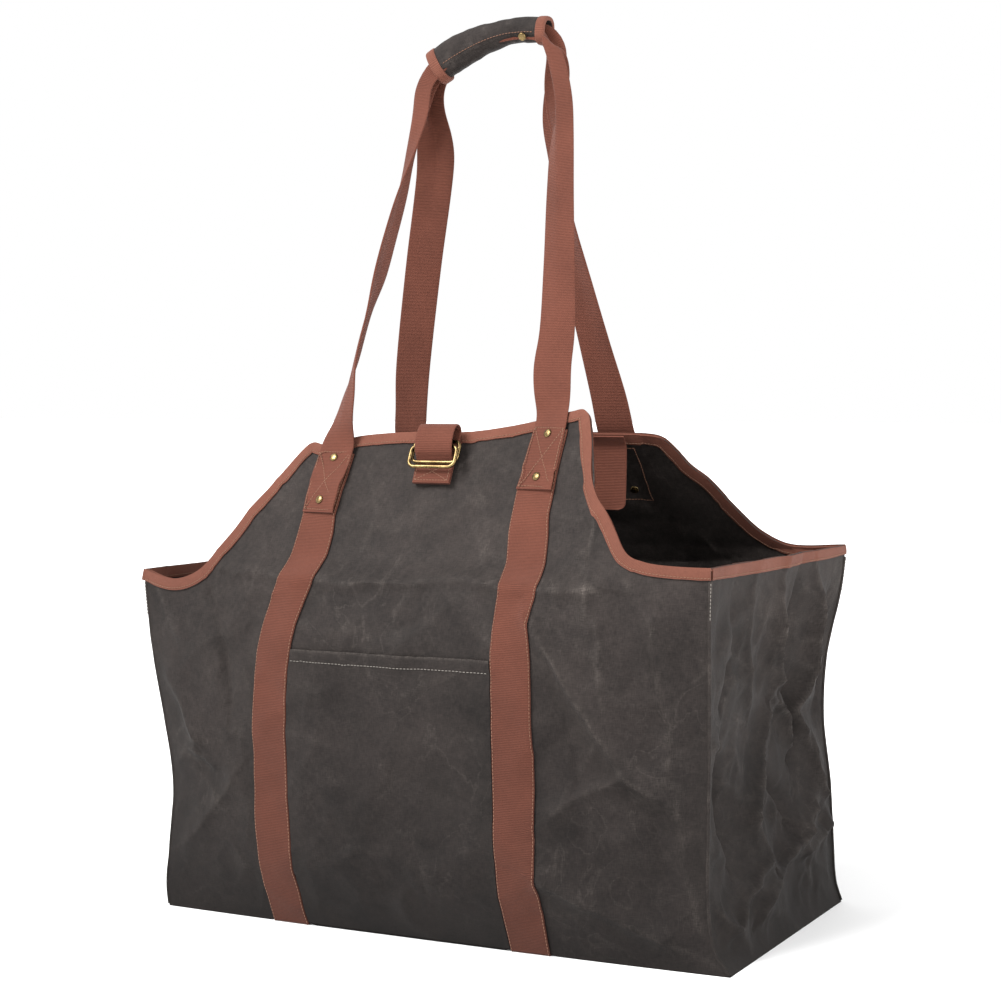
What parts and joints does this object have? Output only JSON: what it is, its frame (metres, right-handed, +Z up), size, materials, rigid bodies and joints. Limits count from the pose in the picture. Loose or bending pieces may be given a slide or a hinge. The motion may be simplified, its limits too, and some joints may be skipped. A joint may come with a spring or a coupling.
{
  "type": "canvas log carrier",
  "caption": "Open waxed-canvas log carrier with raised front and back panels, webbing straps round its base, and long webbing handles that meet in a wrapped grip.",
  "frame": {"origin": "on the floor at the middle of the base, on the underside of the base panel", "axes": "+Z up, +X along the bag's length to the right seen from the front, the front faces -Y"},
  "size_m": [0.6015, 0.3767, 0.8424],
  "materials": {
    "canvas": "waxed canvas, dark grey-brown",
    "webbing": "ribbed brown webbing",
    "binding": "brown twill tape",
    "brass": "antique brass"
  },
  "bodies": {
    "root": {"front_panel": "canvas", "back_panel": "canvas", "front_pocket": "canvas", "base_panel": "canvas", "right_end_panel": "canvas", "left_end_panel": "canvas", "front_rim_binding": "binding", "back_rim_binding": "binding", "right_rim_binding": "binding", "left_rim_binding": "binding", "left_body_strap": "webbing", "right_body_strap": "webbing", "front_left_lining_patch": "webbing", "front_right_lining_patch": "webbing", "back_left_lining_patch": "webbing", "back_right_lining_patch": "webbing", "front_handle": "webbing", "back_handle": "webbing", "grip_wrap": "canvas", "grip_left_binding": "binding", "grip_right_binding": "binding", "grip_snap": "brass", "front_left_upper_rivet": "brass", "front_left_upper_rivet_back": "brass", "front_left_lower_rivet": "brass", "front_left_lower_rivet_back": "brass", "front_right_upper_rivet": "brass", "front_right_upper_rivet_back": "brass", "front_right_lower_rivet": "brass", "front_right_lower_rivet_back": "brass", "back_left_upper_rivet": "brass", "back_left_upper_rivet_back": "brass", "back_left_lower_rivet": "brass", "back_left_lower_rivet_back": "brass", "back_right_upper_rivet": "brass", "back_right_upper_rivet_back": "brass", "back_right_lower_rivet": "brass", "back_right_lower_rivet_back": "brass", "ring_tab": "webbing", "inner_ring": "brass", "outer_ring": "brass"}
  },
  "joints": []
}
